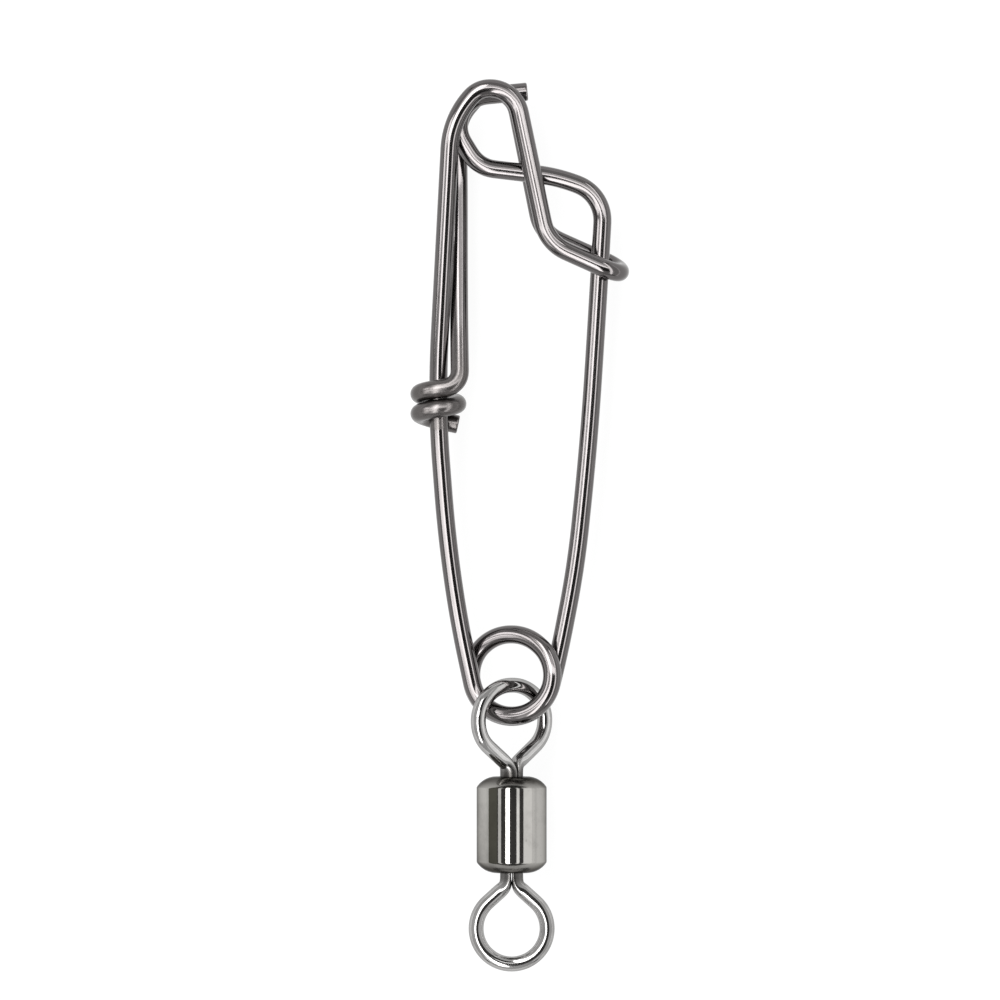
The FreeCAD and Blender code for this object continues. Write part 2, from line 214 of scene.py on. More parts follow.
# %% Sizes of the snap wire
WIRE_DIAMETER = 3.3
WIRE_GAP = 0.12               # strands that cross lie this far apart
PITCH = WIRE_DIAMETER + WIRE_GAP
BACK_Z = WIRE_DIAMETER / 2
MIDDLE_Z = BACK_Z + PITCH
FRONT_Z = MIDDLE_Z + PITCH
AXIS_Z = COIL_CENTRE[2] / MM

COIL_RADIUS = 7.3
COIL_BACK_BOW = 0.35          # the first half turn bulges down past the circle by this much
COIL_RISE = 3.68              # in one turn
COIL_LEAN = -LINK_AXIS[0] / LINK_AXIS[2] * COIL_RADIUS
COIL_LEG_ANGLE = 13.0         # the legs run into the ring this far below its widest points, in degrees
COIL_BENDS = 12

RIGHT_LEG = [(8.7, 4.6), (11.6, 19.6), (13.95, 42.3), (15.45, 65.7)]
UPPER_BEND = (16.65, 86.6)
UPPER_BEND_RADIUS = 6.9
LEFT_LEG = [(-9.55, 9.9), (-11.7, 25.2), (-13.15, 44.1), (-13.2, 55.8)]
ARCH_SHOULDER = (-10.9, 99.75)

TONGUE_LOOP_CENTRE = (-4.0, 98.9)
TONGUE_LOOP_RADIUS = 5.5
TONGUE_LOOP_SPAN = (95.9, 214.6)      # from where to where round the circle, in degrees
TONGUE_LOOP_BENDS = 3
TONGUE_ENDS = [((2.85, 105.05), None)]
TONGUE_FOOT = [((-5.95, 91.4), 5.8), ((8.0, 89.75), 30.0), (UPPER_BEND, UPPER_BEND_RADIUS)]

ARCH_FRONT = [(ARCH_SHOULDER, 15.0), ((-6.05, 105.5), 4.5), ((0.54, 105.5), 5.4), ((6.4, 77.7), 7.3)]
CATCH_SLOPE = math.radians(24.1)
CATCH_SIDE_GAP = 0.15
CATCH_BACK_RISE = 1.42
CATCH_BACK_LENGTH = 15.7
CATCH_BACK_RADIUS = 6.3
ARCH_BACK = [((0.34, 105.35), 4.6), ((-5.3, 105.35), 4.0), ((-9.8, 100.25), 8.0)]

TAIL_START = (-9.55, 90.5)
TAIL_KNEE = (-9.5, 67.5)
TAIL_KNEE_DROP = 2.3
WRAP_Y = 51.9
WRAP_SIDE_GAP = 0.5
WRAP_ENTRY_RADIUS = 3.0
WRAP_TURNS = 2
WRAP_TURN_GAP = 0.25
WRAP_END_REACH = 3.55
WRAP_END_DROP = 1.5
print("heights of the strands:", BACK_Z, round(MIDDLE_Z, 2), round(FRONT_Z, 2), "mm")


# %% [markdown]
# The coil is drawn as the sides of a polygon that touch its circle, because arcs as large as such sides
# allow are exactly that circle. Its height climbs by one rise in each turn, and the whole ring leans to
# the left, which leaves room for the swivel's eye.

# %% The coil and the two legs
def spot(x, y, z):
    return np.array([x, y, z], float)


def ring_corners(centre, radius, start, stop, count, stretch=1.0):
    """(x, y, direction) for the corners of an open polygon round a circle: corner k lies in the middle
    of its share of the turn, at radius / cos(half a share). stretch widens it along x."""
    share = (stop - start) / count
    direction = start + (np.arange(count) + 0.5) * share
    far = radius / math.cos(math.radians(share / 2))
    x = centre[0] + stretch * far * np.cos(np.radians(direction))
    y = centre[1] + far * np.sin(np.radians(direction))
    return np.stack([x, y, direction], axis=1)


def coil_corners():
    """z is the swivel's height + rise * (turns - 3/4) + lean * cos(turned angle)."""
    ring = ring_corners((0, 0), COIL_RADIUS, -COIL_LEG_ANGLE, COIL_LEG_ANGLE - 540, COIL_BENDS)
    turned = np.radians(-ring[:, 2])
    y = ring[:, 1] - np.where(turned < math.pi, COIL_BACK_BOW * np.sin(turned), 0)
    z = AXIS_Z + COIL_RISE * (turned / (2 * math.pi) - 0.75) + COIL_LEAN * np.cos(turned)
    return np.stack([ring[:, 0], y, z], axis=1)


def leg(corners_xy, foot, top_y, top_z):
    """The corners of a leg, with a height that goes evenly from the coil's end to the leg's top."""
    flat = np.array([tuple(foot[:2])] + corners_xy)
    z = foot[2] + (top_z - foot[2]) * (flat[:, 1] - foot[1]) / (top_y - foot[1])
    return np.column_stack([flat, z])


coil = coil_corners()
right_leg = leg(RIGHT_LEG, coil[0], RIGHT_LEG[-1][1], MIDDLE_Z)
left_leg = leg(LEFT_LEG + [ARCH_SHOULDER], coil[-1], ARCH_SHOULDER[1], FRONT_Z)


def left_leg_at(y):
    """x and z of the left leg at a height y."""
    return np.interp(y, left_leg[:, 1], left_leg[:, 0]), np.interp(y, left_leg[:, 1], left_leg[:, 2])


print("right leg", right_leg.round(1).tolist())


# %% [markdown]
# The catch turns round the right leg: in front of it, over its side and back under it. The tail comes
# down beside the left leg, crosses over it and is wound round it twice. A winding tool makes those turns
# nearly square at first and round in the end, so a square spiral with bends that fill its corners does.

# %% The catch and the wrap
def catch_turn():
    """The two corners of the turn, a wire's pitch and a gap outside the right leg's line."""
    lean = (UPPER_BEND[0] - RIGHT_LEG[-1][0]) / (UPPER_BEND[1] - RIGHT_LEG[-1][1])
    neck_x, neck_y = ARCH_FRONT[-1][0]
    beside_leg = RIGHT_LEG[-1][0] + lean * (neck_y - RIGHT_LEG[-1][1])
    run = (beside_leg + PITCH + CATCH_SIDE_GAP - WIRE_GAP - neck_x) / (1 + lean * math.tan(CATCH_SLOPE))
    front = spot(neck_x + run, neck_y - run * math.tan(CATCH_SLOPE), FRONT_Z)
    rise = CATCH_BACK_RISE * spot(math.sin(CATCH_SLOPE), math.cos(CATCH_SLOPE), 0)
    return front, front + rise + spot(0, 0, BACK_Z - FRONT_Z)


def wrap_corners():
    """Corners round the left leg at a pitch in x and in z, a quarter of a turn lower each time."""
    knee_z = left_leg_at(TAIL_KNEE[1])[1] - TAIL_KNEE_DROP
    corners = [(spot(*TAIL_START, BACK_Z), None), (spot(*TAIL_KNEE, knee_z), None)]
    x, z = left_leg_at(WRAP_Y)
    corners.append((spot(x + PITCH + WRAP_SIDE_GAP, WRAP_Y, z + PITCH), WRAP_ENTRY_RADIUS))
    sides = [(-1, 1), (-1, -1), (1, -1), (1, 1)]
    quarter = (WIRE_DIAMETER + WRAP_TURN_GAP) / 4
    y = WRAP_Y
    for k in range(4 * WRAP_TURNS - 2):
        y -= quarter
        x, z = left_leg_at(y)
        side_x, side_z = sides[k % 4]
        corners.append((spot(x + side_x * PITCH, y, z + side_z * PITCH), None))
    y -= WRAP_END_DROP
    x, z = left_leg_at(y)
    corners.append((spot(x + WRAP_END_REACH, y, z - PITCH), None))
    return corners


print("catch turns at", catch_turn()[0].round(1), "and", catch_turn()[1].round(1))

# %% [markdown]
# Now the whole route can be written down in the order in which the wire runs: tongue, right leg, coil,
# left leg, arch, catch, back arch, wrap. A strand that lies flat takes one of three heights, because
# three strands lie on each other where the clip closes.

# %% The whole route
def level(corners, z):
    return [(spot(*point, z), radius) for point, radius in corners]


def snap_corners():
    loop = ring_corners(TONGUE_LOOP_CENTRE, TONGUE_LOOP_RADIUS, *TONGUE_LOOP_SPAN, TONGUE_LOOP_BENDS)
    loop = [((x, y), TONGUE_LOOP_RADIUS) for x, y, _ in loop]
    front, back = catch_turn()
    foot = back + CATCH_BACK_LENGTH * spot(-math.cos(CATCH_SLOPE), math.sin(CATCH_SLOPE), 0)
    legs_and_coil = [*right_leg[:0:-1], *coil, *left_leg[1:-1]]
    return (level(TONGUE_ENDS + loop + TONGUE_FOOT, MIDDLE_Z) + [(point, None) for point in legs_and_coil]
            + level(ARCH_FRONT, FRONT_Z) + [(front, None), (back, None), (foot, CATCH_BACK_RADIUS)]
            + level(ARCH_BACK, BACK_Z) + wrap_corners())


def to_part(points):
    """From millimetres about the coil's centre to metres in the part's frame; heights stay heights."""
    return points * MM + np.array([COIL_CENTRE[0], COIL_CENTRE[1], 0])


snap_line = bent_line(snap_corners())
print("wire length", round(distances(snap_line)[-1], 1), "mm")

# %% [markdown]
# Round wire could be a curve object with a bevel depth. Here it is a grid of points, which gives the cut
# ends their small chamfer, a UV map in real lengths for the drawing lines, and a number at each point
# that says how much a tool has worked the metal there. The material reads that number.

# %% The skin of the snap wire
AROUND_WIRE = 40
CUT_CHAMFER = 0.18            # the cutter leaves the edge of a cut end slightly round
TIGHT_BEND = 1.32             # a bend of this radius counts as fully worked
BEND_WEAR = 0.4               # how much a tight bend dulls the wire, where the wrap is 1
WRAP_LENGTH = 52.0            # the last of the wire, which the winding tool has scuffed
WRAP_FADE = 12.0              # the scuffing sets in over this length
WRAP_HEIGHT = 7.6             # the leg's stretch that the wrap hides and has scuffed too


def wire_skin(name, line, radius):
    """Point (s, a) of the skin is line(s) + radius * (side(s) cos a + up(s) sin a). At each cut end the
    radius shrinks by the chamfer over the chamfer's own length, and a flat face closes it. The metal
    counts as worked where it is bent, in the wrap, and on the leg that the wrap is wound round."""
    side, up = steady_frame(line, (0, 0, -1))
    start, end = CUT_CHAMFER * directions(line)[[0, -1]]
    length, bend = distances(line), bend_of(line)
    line = np.concatenate([line[:1], line[:1] + start, line[1:-1], line[-1:] - end, line[-1:]])
    side, up = (np.concatenate([v[:1], v, v[-1:]]) for v in (side, up))
    along = np.concatenate([length[:1], length[:1] + CUT_CHAMFER, length[1:-1],
                            length[-1:] - CUT_CHAMFER, length[-1:]])
    size = np.full(len(line), radius)
    size[[0, -1]] -= CUT_CHAMFER
    angle = np.linspace(0, 2 * math.pi, AROUND_WIRE, endpoint=False)
    around = side[:, None] * np.cos(angle)[:, None] + up[:, None] * np.sin(angle)[:, None]
    points = line[:, None] + size[:, None, None] * around
    bent = np.clip(TIGHT_BEND * np.interp(along, length, bend), 0, 1)
    wound = np.clip((along - (along[-1] - WRAP_LENGTH)) / WRAP_FADE, 0, 1)
    x, y = line[:, 0], line[:, 1]
    under_wrap = (x < 0) & (y > WRAP_Y - WRAP_HEIGHT) & (y < WRAP_Y)
    wound = np.where(under_wrap, 1, wound)
    return grid_mesh(name, to_part(points), along * MM, 2 * math.pi * radius * MM,
                     worked=np.maximum(BEND_WEAR * bent, wound))


snap = wire_skin("snap_wire_skin", snap_line, WIRE_DIAMETER / 2)

# %% [markdown]
# ## The swivel's eyes
#
# Each eye is one wire, thinner than the clip's, bent round and brought back to itself. Its two ends are
# pressed half round, so that together they fill the hole of the barrel, and inside they are upset into
# a head that can't come out. So the section changes along the wire: a full circle round the eye, and
# half of a larger circle in the neck. Both are functions of the same angle, and one share mixes them,
# which gives the soft shoulder that a press leaves.

# %% Sizes of the eyes
EYE_WIRE_RADIUS = 1.35
EYE_HEIGHT_RADIUS = 6.4       # of both eyes, along the swivel
LOWER_EYE_RADIUS = 6.4        # and across it
UPPER_EYE_RADIUS = 7.5
EYE_FLANK_ANGLE = 48.0        # the flanks leave the ring this far below its widest points, in degrees
EYE_BENDS = 6
EYE_TO_BARREL = 10.05         # from the eye's centre to the barrel's end
NECK_RADIUS = 2.0
NECK_BEND_RADIUS = 1.7
SEAM_WIDTH = 0.08
SEAM_ROUNDING = 0.55          # how far the pressed edges round off into the seam
PRESS_FADE = (-1.6, 1.2)      # the pressed half circle fades into the round wire over these heights
HEAD_RADIUS = 4.3
HEAD_CLEARANCE = 0.1
HEAD_SPACING = 1.5
NECK_CLEARANCE = 0.05
BARREL_END_WALL = 1.45
EYE_STEP = 0.22
EYE_SOFTENING = 0.3
AROUND_EYE = 40
print("an eye is", 2 * (EYE_HEIGHT_RADIUS + EYE_WIRE_RADIUS), "mm high over its wire")

# %% [markdown]
# The line of an eye starts inside the barrel, bends out to one flank, runs round the eye and comes back.
# The neck widens to a cone inside, where the head turns against its seat. None of that shows, but it
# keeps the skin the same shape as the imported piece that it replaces.

# %% The line and the skin of an eye
def eye_line(across):
    """The eye's line in its own plane, from one end in the barrel round to the other, and the height
    where its flanks meet the neck."""
    slope = math.radians(-EYE_FLANK_ANGLE)
    half_neck = NECK_RADIUS / 2
    foot = (EYE_HEIGHT_RADIUS - half_neck * EYE_HEIGHT_RADIUS / across * math.cos(slope)) / math.sin(slope)
    end = -EYE_TO_BARREL - BARREL_HALF / MM + HEAD_SPACING / 2
    ring = ring_corners((0, 0), EYE_HEIGHT_RADIUS, 180 + EYE_FLANK_ANGLE, -EYE_FLANK_ANGLE,
                        EYE_BENDS, across / EYE_HEIGHT_RADIUS)
    corners = ([(spot(-half_neck, end, 0), None), (spot(-half_neck, foot, 0), NECK_BEND_RADIUS)]
               + [(spot(x, y, 0), None) for x, y, _ in ring]
               + [(spot(half_neck, foot, 0), NECK_BEND_RADIUS), (spot(half_neck, end, 0), None)])
    return bent_line(corners, EYE_STEP, EYE_SOFTENING), foot


def neck_radius_at(y):
    """Radius of the neck at a height: the neck's own, then out along the cone of the head's seat."""
    seat = -EYE_TO_BARREL - BARREL_END_WALL + NECK_RADIUS + NECK_CLEARANCE - HEAD_CLEARANCE
    heights = [seat - HEAD_RADIUS, seat - NECK_RADIUS]
    return np.interp(y, heights, [HEAD_RADIUS, NECK_RADIUS])


def eye_skin(across):
    """Point (s, a): with outward o(s) in the eye's plane and z square to it, the round wire is
    line + r (o cos a + z sin a). The pressed wire is half the neck: o reaches (q + sqrt(q q + k k)) / 2
    with q = R cos a, which is q on the round side and nearly 0 along the seam, and z reaches R sin a."""
    line, foot = eye_line(across)
    tangent = directions(line)
    outward = np.cross(tangent, spot(0, 0, -1))
    y = line[:, 1]
    share = np.clip((y - (foot + PRESS_FADE[0])) / (PRESS_FADE[1] - PRESS_FADE[0]), 0, 1)
    pressed = 1 - share * share * (3 - 2 * share)     # eased at both ends
    angle = np.linspace(0, 2 * math.pi, AROUND_EYE, endpoint=False)
    neck = neck_radius_at(y)[:, None]
    q = neck * np.cos(angle)
    half_out = (q + np.sqrt(q * q + SEAM_ROUNDING ** 2)) / 2 + SEAM_WIDTH / 2 - NECK_RADIUS / 2
    w = pressed[:, None]
    out = (1 - w) * EYE_WIRE_RADIUS * np.cos(angle) + w * half_out
    high = (1 - w) * EYE_WIRE_RADIUS * np.sin(angle) + w * neck * np.sin(angle)
    points = line[:, None] + out[..., None] * outward[:, None] + high[..., None] * spot(0, 0, 1)
    return points, distances(line) * MM, pressed


def eye_piece(name, across, place):
    """The skin of an eye, moved to its place; the pressed metal counts as worked: it is rougher, and
    painted darker as painted shade.
    """
    points, along, pressed = eye_skin(across)
    return grid_mesh(name, place(points), along, 2 * math.pi * EYE_WIRE_RADIUS * MM, worked=pressed)


# %% [markdown]
# The upper eye is linked with the coil. Two rigid rings can't lie flat in each other, so the eye is
# turned about the swivel's axis until it passes over the coil's wire on the left and under it on the
# right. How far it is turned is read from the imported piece: a ring of half width a, turned by t, is
# a cos t + r wide.

# %% Both eyes in place
upper_low, upper_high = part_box("upper_eye")
half_seen = (upper_high[0] - upper_low[0]) / 2 / MM
EYE_TURN = math.acos((half_seen - EYE_WIRE_RADIUS) / UPPER_EYE_RADIUS)
EYE_DISTANCE = BARREL_HALF / MM + EYE_TO_BARREL


def upper_place(points):
    """Turned about the swivel's axis, then set above the barrel: x' = x cos t, z' = -x sin t."""
    x, y, z = points[..., 0], points[..., 1], points[..., 2]
    turned = np.stack([x * math.cos(EYE_TURN) + z * math.sin(EYE_TURN), y + EYE_DISTANCE,
                       z * math.cos(EYE_TURN) - x * math.sin(EYE_TURN)], axis=-1)
    return turned * MM + BARREL_MIDDLE


def lower_place(points):
    """Turned half round in its own plane, so that its neck points up into the barrel."""
    return (points * spot(-1, -1, 1) - spot(0, EYE_DISTANCE, 0)) * MM + BARREL_MIDDLE


upper = eye_piece("upper_eye_skin", UPPER_EYE_RADIUS, upper_place)
lower = eye_piece("lower_eye_skin", LOWER_EYE_RADIUS, lower_place)
print("upper eye turned by", round(math.degrees(EYE_TURN), 1), "degrees")

# %% [markdown]
# ## The barrel
#
# The barrel is a turned shell whose ends are swaged down over the two heads. A profile carried once
# round the axis makes it. The profile is a closed line too: up inside, out along the flat end, over
# the shoulder, down the body and back, with every outer edge rounded as polishing leaves it.

# %% Sizes of the barrel
BARREL_BODY_HALF = 6.75
BARREL_FLAT_RADIUS = 3.3
BARREL_WALL = 1.25
SHOULDER_CORNER = (5.2, 8.32)     # the shoulder's arc drawn out to a corner, across and along
SHOULDER_RADIUS = 4.2
RIM_ROUNDING = 0.35
EDGE_ROUNDING = 0.4
HOLE_ROUNDING = 0.12
SEAT_ROUNDING = 0.2
SWAGE_SHADE_START = 0.3             # how far the shell turns rough, and to its painted shade colour, at once where the swaging die began
SWAGE_SHADE_FADE = 1.6              # and over this length it turns fully rough and fully painted dark
PROFILE_STEP = 0.15
AROUND_BARREL = 216
print("shell wall", BARREL_WALL, "mm, end wall", BARREL_END_WALL, "mm")

# %% [markdown]
# Only the upper half of the profile is listed, and the lower half is its mirror image. The function that
# bends the wires rounds its corners too. A subdivided cylinder would do for the form, but this way the UV
# map has real lengths, and each point knows whether the swaging die has worked it; there the shell is
# rougher, and painted darker as painted shade.

# %% The barrel's shell
def barrel_profile():
    """The section of the shell as a closed line of points (across, along), without its last point."""
    hole = NECK_RADIUS + NECK_CLEARANCE
    end = BARREL_HALF / MM
    radius = BARREL_RADIUS / MM
    cavity = radius - BARREL_WALL
    seat_top = end - BARREL_END_WALL
    seat_low = seat_top - (cavity - hole)
    corners = [((cavity, 0), None), ((cavity, seat_low), SEAT_ROUNDING), ((hole, seat_top), SEAT_ROUNDING),
               ((hole, end), HOLE_ROUNDING), ((BARREL_FLAT_RADIUS, end), RIM_ROUNDING),
               (SHOULDER_CORNER, SHOULDER_RADIUS), ((radius, BARREL_BODY_HALF), EDGE_ROUNDING),
               ((radius, 0), None)]
    half = bent_line([(spot(*point, 0), bend) for point, bend in corners], PROFILE_STEP, 0)
    return np.concatenate([half, half[-2:0:-1] * spot(1, -1, 1)])


def barrel_skin(name):
    """Point (s, a) is at r(s) cos a across, y(s) along and r(s) sin a up from the middle."""
    profile = barrel_profile()
    angle = np.linspace(0, 2 * math.pi, AROUND_BARREL, endpoint=False)
    r, y = profile[:, :1], profile[:, 1:2]
    ring = np.stack([r * np.cos(angle), y + 0 * angle, r * np.sin(angle)], axis=-1) * MM + BARREL_MIDDLE
    along = distances(np.concatenate([profile, profile[:1]])) * MM
    beyond_body = np.abs(profile[:, 1]) - BARREL_BODY_HALF
    # Past the body the swaging die has worked the shell: it is rougher there, and its colour is painted
    # darker there, as painted shade.
    swaged_and_shaded = np.clip(SWAGE_SHADE_START * (beyond_body > 0) + beyond_body / SWAGE_SHADE_FADE, 0, 1)
    return grid_mesh(name, ring, along, 2 * math.pi * BARREL_RADIUS, closed_line=True, worked=swaged_and_shaded)


barrel = barrel_skin("swivel_barrel_skin")

# %% [markdown]
# ## Riding and standing in
#
# Each skin moves with the body of the piece that it covers, and stands in for that piece.

# %% Tie each skin to its body
SKINS = {
    "snap_wire": (snap, "snap", "clip_wire"),
    "upper_eye": (upper, "upper_eye", "eye_wire"),
    "swivel_barrel": (barrel, "barrel", "barrel_shell"),
    "lower_eye": (lower, "lower_eye", "eye_wire"),
}
for node, (piece, body, slot) in SKINS.items():
    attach(piece, body)
    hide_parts(node)
    print(node, "rides with", body)

# %% [markdown]
# ## Metals
#
# Polished metal has almost no colour of its own: it multiplies what it reflects by a tint. Stainless
# spring wire is darker and a little brown, and nickel plate is paler; the clip's tint is set well below
# bare stainless, as painted shade. What makes it look made rather than computed is small: faint lines
# along the wire from the drawing die, fine turning marks round the barrel, a slow unevenness of the
# polish, and a duller skin where a tool bent or pressed the metal. On the eyes' pressed necks and the
# barrel's swaged ends that skin is painted much darker, which is painted shade.

# %% Small helpers for materials
def linear(hex_colour):
    """sRGB hex to linear RGBA: c / 12.92 below 0.04045, else ((c + 0.055) / 1.055) ^ 2.4."""
    c = np.array([int(hex_colour[k:k + 2], 16) / 255 for k in (1, 3, 5)])
    return (*np.where(c <= 0.04045, c / 12.92, ((c + 0.055) / 1.055) ** 2.4).tolist(), 1.0)


def add(tree, kind, inputs=(), **settings):
    """Adds a node. settings are its properties. inputs maps an input's name or number to a value, to the
    socket that feeds it, or to the node whose first socket feeds it."""
    node = tree.nodes.new(kind)
    for key, value in settings.items():
        setattr(node, key, value)
    for key, value in dict(inputs).items():
        if isinstance(value, bpy.types.Node):
            value = value.outputs[0]
        if isinstance(value, bpy.types.NodeSocket):
            tree.links.new(value, node.inputs[key])
        else:
            node.inputs[key].default_value = value
    return node


def new_tree(name):
    material = bpy.data.materials.new(name)
    material.use_nodes = True
    material.node_tree.nodes.clear()
    return material, material.node_tree


# %% [markdown]
# One recipe serves all three metals, because all three are a bare polished surface with marks that run
# one way. The marks are noise on the UV map, which is in metres: long one way and narrow the other.
# Real drawing lines are a few hundredths of a millimetre apart, which is finer than the picture shows,
# so they are drawn several times coarser and very shallow. Noise stays near 0.5, so a range from 0.45
# up takes the upper half of it and a range from 0.62 up only its peaks.

# %% A polished metal with marks that run one way
CLOUD = (7.0, 4.0, 0.6)       # size in mm, detail and roughness of the noise: the wheel took less here
CLOUD_RANGE, CLOUD_DULLNESS = (0.45, 0.8), 0.5
SPECKS = (0.45, 3.0, 0.7)     # pits and dried polish
SPECK_RANGE, SPECK_DULLNESS = (0.62, 0.8), 0.35
RIPPLE = (4.0, 1.0, 0.5)      # metal pressed to a soft wheel is never quite even
RIPPLE_DEPTH = 0.006
# how far worked metal turns to the dull colour: wear on the clip, and painted shade on the eyes' pressed
# necks and the barrel's swaged ends
WORKED_DULLNESS_AND_SHADE = 0.85
MARK_RANGE = (0.3, 0.75)
MARK_ROUGHNESS = (0.8, 1.3)   # the marks vary the roughness between these shares of it


def polished_metal(name, clean, dull_and_shaded, edge, roughness, worked_roughness, mark_size, mark_depth):
    """mark_size is how long the marks are along the UV map's u and v, and mark_depth how deep, in mm.
    edge is the colour that multiplies what the metal shows at a grazing angle."""
    material, tree = new_tree(name)
    place = add(tree, "ShaderNodeTexCoord")
    stretched = add(tree, "ShaderNodeMapping", {"Vector": place.outputs["UV"],
                                                "Scale": (1 / mark_size[0], 1 / mark_size[1], 1)})
    marks = add(tree, "ShaderNodeTexNoise", {"Vector": stretched, "Scale": 1 / MM, "Detail": 4.0,
                                             "Roughness": 0.65})
    cloud, specks, ripple = [
        add(tree, "ShaderNodeTexNoise", {"Vector": place.outputs["Object"], "Scale": 1 / (size * MM),
                                         "Detail": detail, "Roughness": grain})
        for size, detail, grain in (CLOUD, SPECKS, RIPPLE)]
    # The worked number from the mesh is wear on the clip; on the eyes' pressed necks and the barrel's
    # swaged ends it also carries painted shade.
    worked = add(tree, "ShaderNodeAttribute", attribute_name="worked").outputs["Fac"]

    dullness_and_shade = 0.0
    for cause, (low, high), most in ((cloud, CLOUD_RANGE, CLOUD_DULLNESS),
                                     (worked, (0, 1), WORKED_DULLNESS_AND_SHADE),
                                     (specks, SPECK_RANGE, SPECK_DULLNESS)):
        share = add(tree, "ShaderNodeMapRange", {"Value": cause, "From Min": low, "From Max": high,
                                                 "To Max": most})
        dullness_and_shade = add(tree, "ShaderNodeMath", {0: dullness_and_shade, 1: share}, operation="ADD", use_clamp=True)
    colour = add(tree, "ShaderNodeMix", {0: dullness_and_shade, 6: linear(clean), 7: linear(dull_and_shaded)},
                 data_type="RGBA")

    grooved = add(tree, "ShaderNodeMapRange", {"Value": marks,
                                               "From Min": MARK_RANGE[0], "From Max": MARK_RANGE[1],
                                               "To Min": roughness * MARK_ROUGHNESS[0],
                                               "To Max": roughness * MARK_ROUGHNESS[1]})
    scuffed = add(tree, "ShaderNodeMapRange", {"Value": worked, "To Max": worked_roughness})
    rough = add(tree, "ShaderNodeMath", {0: grooved, 1: scuffed}, operation="ADD", use_clamp=True)

    fine = add(tree, "ShaderNodeBump", {"Height": marks, "Strength": 1.0, "Distance": mark_depth * MM})
    uneven = add(tree, "ShaderNodeBump", {"Height": ripple, "Strength": 1.0,
                                          "Distance": RIPPLE_DEPTH * MM, "Normal": fine})
    shader = add(tree, "ShaderNodeBsdfPrincipled", {"Base Color": colour.outputs[2], "Metallic": 1.0,
                                                    "Roughness": rough, "Normal": uneven,
                                                    "Specular Tint": linear(edge)})
    add(tree, "ShaderNodeOutputMaterial", {"Surface": shader})
    return material


# %% [markdown]
# The wire is drawn through a die, so its marks run along it, some centimetres long. The barrel is turned,
# so its marks run round it. The wrap and the swaged ends have felt a tool after the polish and are duller
# and rougher there; on the swaged ends, as on the eyes' pressed necks, the darker colour is painted shade.
# Each entry begins with what the eye gets from that finish.

# %% The three metals
METALS = {
    # mid grey, a little brown, and about a quarter as bright as bare stainless: painted shade for the dark
    # surroundings that the wire reflects; a tight white line down each wire, and pale edges
    "clip_wire": polished_metal("polished stainless spring wire", clean="#666363", dull_and_shaded="#5C5958",
                                edge="#FFFFFF", roughness=0.1, worked_roughness=0.17,
                                mark_size=(30, 0.22), mark_depth=0.0002),
    # paler and smoother than the clip; the pressed necks are rougher and painted dark, as painted shade
    "eye_wire": polished_metal("polished stainless eye wire", clean="#ACABAA", dull_and_shaded="#4A4846",
                               edge="#CBCBCB", roughness=0.09, worked_roughness=0.2,
                               mark_size=(25, 0.2), mark_depth=0.00012),
    # pale and a little yellow; wide soft bands with faint rings across them, and satin ends, which are
    # painted dark as painted shade
    "barrel_shell": polished_metal("bright nickel plate on brass", clean="#ADABA7", dull_and_shaded="#5C5A57",
                                   edge="#A0A0A0", roughness=0.07, worked_roughness=0.15,
                                   mark_size=(0.2, 40), mark_depth=0.0001),
}
for piece, _, slot in SKINS.values():
    piece.data.materials.append(METALS[slot])
print("metals:", [metal.name for metal in METALS.values()])

# %% [markdown]
# ## The studio
#
# The floor and the far wall are white card. To the camera, and to what the metal reflects, they glow
# by themselves and so are as white as in the picture; a small share stays plain card, which keeps the
# clip's own shadow. The light that they throw back on the clip is that of plain card too.
#
# Tackle is often laid on clear glass a little above the card, so that its shadow falls soft and wide.
# So the card lies a few millimetres below the clip here. That also leaves room for the swing: the coil
# leans, so the swivel dips as it swings to the left. The glass wouldn't show and isn't built.

# %% Floor and far wall
CARD_GLOW = 0.95              # what the card gives off by itself where it is seen
CARD_SHADE = "#616161"        # the share that is lit as card even there, and shows the shadow
CARD_WHITE = "#E7E7E7"        # how white it is to all other light
CARD_DROP = 8 * MM
STUDIO_RADIUS = 8.0
WALL_HEIGHT = 1.1


def white_card():
    """Matt white card. Where it is seen it looks evenly white, with nothing on it but a soft shadow."""
    material, tree = new_tree("matt white card")
    path = add(tree, "ShaderNodeLightPath")
    seen = 0.0
    for ray in ("Is Camera Ray", "Is Glossy Ray", "Is Transmission Ray"):
        seen = add(tree, "ShaderNodeMath", {0: seen, 1: path.outputs[ray]}, operation="ADD",
                   use_clamp=True)
    shade = add(tree, "ShaderNodeBsdfDiffuse", {"Color": linear(CARD_SHADE)})
    glow = add(tree, "ShaderNodeEmission", {"Strength": CARD_GLOW})
    lit = add(tree, "ShaderNodeAddShader", {0: shade, 1: glow})
    plain = add(tree, "ShaderNodeBsdfDiffuse", {"Color": linear(CARD_WHITE)})
    both = add(tree, "ShaderNodeMixShader", {0: seen, 1: plain, 2: lit})
    add(tree, "ShaderNodeOutputMaterial", {"Surface": both})
    return material


def studio_round(radius, height, drop, count=96):
    """A floor disc, drop below the clip, whose edge turns up into a wall."""
    angle = np.linspace(0, 2 * math.pi, count, endpoint=False)
    rings = [(radius, -drop), (radius, height)]
    points = [(r * math.cos(a), r * math.sin(a), z) for r, z in rings for a in angle]
    faces = [list(range(count))]
    faces += [[k, (k + 1) % count, count + (k + 1) % count, count + k] for k in range(count)]
    mesh = bpy.data.meshes.new("studio")
    mesh.from_pydata(points, [], faces)
    mesh.materials.append(white_card())
    floor = bpy.data.objects.new("studio", mesh)
    bpy.context.scene.collection.objects.link(floor)
    return floor


card = studio_round(STUDIO_RADIUS, WALL_HEIGHT, CARD_DROP)
print("card", round(CARD_DROP / MM, 1), "mm below the clip")

